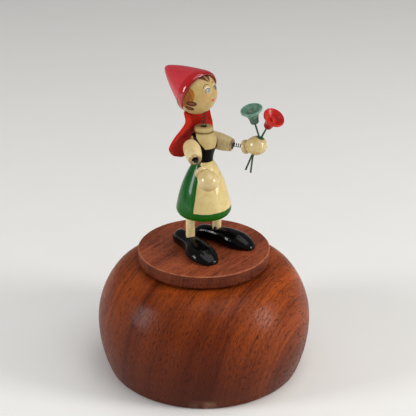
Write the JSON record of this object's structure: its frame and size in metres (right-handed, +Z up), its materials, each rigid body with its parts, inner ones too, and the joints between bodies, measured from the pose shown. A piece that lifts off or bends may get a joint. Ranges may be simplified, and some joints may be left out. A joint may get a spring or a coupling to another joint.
{
  "type": "music box with spring-jointed doll",
  "caption": "Turned wooden dome music box with a key underneath; its top disc turns a painted wooden doll with spring neck and wrists that holds flowers.",
  "frame": {"origin": "on the table under the middle of the round base", "axes": "+Z up along the base's axis; the doll faces -Y and its left hand is at +X"},
  "size_m": [0.11, 0.11, 0.1586],
  "materials": {
    "turned_hardwood": "satin",
    "disc_hardwood": "satin",
    "plain_wood": "raw",
    "cream_paint": "gloss paint",
    "red_paint": "gloss paint",
    "green_paint": "gloss paint",
    "black_paint": "gloss paint",
    "red_felt": "felt",
    "teal_paint": "worn paint",
    "green_wire": "paint",
    "spring_steel": "bright",
    "plated_steel": "satin",
    "brass": "satin"
  },
  "bodies": {
    "base": {"base_shell": "turned_hardwood", "bottom_plate": "plain_wood", "bottom_plate_screws": "plated_steel", "movement_screws": "plated_steel", "spindle_bush": "brass", "bedplate": "plated_steel", "comb": "spring_steel", "comb_screws": "plated_steel", "cylinder_post_inner": "plated_steel", "cylinder_post_outer": "plated_steel", "governor_frame": "plated_steel", "governor_screws": "plated_steel", "clutch_spring": "spring_steel"},
    "winder": {"winding_arbor": "spring_steel", "winding_key": "plated_steel"},
    "turntable": {"spring_barrel": "brass", "barrel_lid": "brass", "mainspring": "spring_steel", "drive_spindle": "spring_steel", "hub_flange": "plated_steel", "hub_screws": "plated_steel", "turntable": "disc_hardwood", "shoe_screws": "plated_steel", "left_shoe": "black_paint", "right_shoe": "black_paint", "left_leg": "cream_paint", "right_leg": "cream_paint", "skirt": "green_paint", "torso": "cream_paint", "left_sleeve": "cream_paint", "right_sleeve": "cream_paint", "cape": "red_felt"},
    "cylinder": {"pinned_cylinder": "brass", "cylinder_arbor": "spring_steel", "cylinder_pinion": "brass", "cylinder_gear": "brass"},
    "governor": {"governor_arbor": "spring_steel", "worm_wheel": "brass"},
    "fly": {"worm_shaft": "spring_steel", "air_fan": "brass"},
    "neck_spring": {"neck_spring": "spring_steel"},
    "head": {"head": "cream_paint", "hood": "red_paint"},
    "left_hand_spring": {"left_hand_spring": "spring_steel"},
    "left_hand": {"left_hand": "cream_paint", "teal_stem": "green_wire", "red_stem": "green_wire", "teal_flower": "teal_paint", "red_flower": "red_paint"},
    "right_hand_spring": {"right_hand_spring": "spring_steel"},
    "right_hand": {"right_hand": "cream_paint"}
  },
  "joints": [
    {"name": "turntable_spin", "type": "hinge", "parent": "base", "child": "turntable", "pos_m": [0, 0, 0.058], "axis": [0, 0, 1], "continuous": true},
    {"name": "winder_turn", "type": "hinge", "parent": "base", "child": "winder", "pos_m": [0, 0, 0.01], "axis": [0, 0, 1], "continuous": true},
    {"name": "cylinder_spin", "type": "hinge", "parent": "base", "child": "cylinder", "pos_m": [0.0195, 0, 0.0305], "axis": [1, 0, 0], "continuous": true},
    {"name": "governor_spin", "type": "hinge", "parent": "base", "child": "governor", "pos_m": [0.0195, 0.00966, 0.0305], "axis": [1, 0, 0], "continuous": true},
    {"name": "fly_spin", "type": "hinge", "parent": "base", "child": "fly", "pos_m": [0.0232, 0.01416, 0.0305], "axis": [0, 0, 1], "continuous": true},
    {"name": "head_nod", "type": "hinge", "parent": "turntable", "child": "neck_spring", "pos_m": [0, 0, 0.1343], "axis": [1, 0, 0], "range_deg": [-10, 12], "stiffness_Nm_per_rad": 0.03, "deforming": ["neck_spring", "cape"]},
    {"name": "head_sway", "type": "hinge", "parent": "neck_spring", "child": "head", "pos_m": [0, 0, 0.1343], "axis": [0, 1, 0], "range_deg": [-10, 10], "stiffness_Nm_per_rad": 0.03, "deforming": ["neck_spring", "cape"]},
    {"name": "left_hand_bob", "type": "hinge", "parent": "turntable", "child": "left_hand_spring", "pos_m": [0.01217, -0.01184, 0.12031], "axis": [-0.9435, -0.3312, 0], "range_deg": [-14, 14], "stiffness_Nm_per_rad": 0.012, "deforming": ["left_hand_spring"]},
    {"name": "left_hand_swing", "type": "hinge", "parent": "left_hand_spring", "child": "left_hand", "pos_m": [0.01217, -0.01184, 0.12031], "axis": [-0.0049, 0.0139, 0.9999], "range_deg": [-14, 14], "stiffness_Nm_per_rad": 0.012, "deforming": ["left_hand_spring"]},
    {"name": "right_hand_bob", "type": "hinge", "parent": "turntable", "child": "right_hand_spring", "pos_m": [-0.01233, -0.00906, 0.11575], "axis": [-0.9486, 0.3166, 0], "range_deg": [-12, 12], "stiffness_Nm_per_rad": 0.012, "deforming": ["right_hand_spring"]},
    {"name": "right_hand_swing", "type": "hinge", "parent": "right_hand_spring", "child": "right_hand", "pos_m": [-0.01233, -0.00906, 0.11575], "axis": [-0.1692, -0.5069, 0.8453], "range_deg": [-12, 12], "stiffness_Nm_per_rad": 0.012, "deforming": ["right_hand_spring"]}
  ],
  "couplings": [
    {"joint": "cylinder_spin", "follows": "turntable_spin", "ratio": 4},
    {"joint": "governor_spin", "follows": "turntable_spin", "ratio": -15.2},
    {"joint": "fly_spin", "follows": "turntable_spin", "ratio": 212.8}
  ]
}
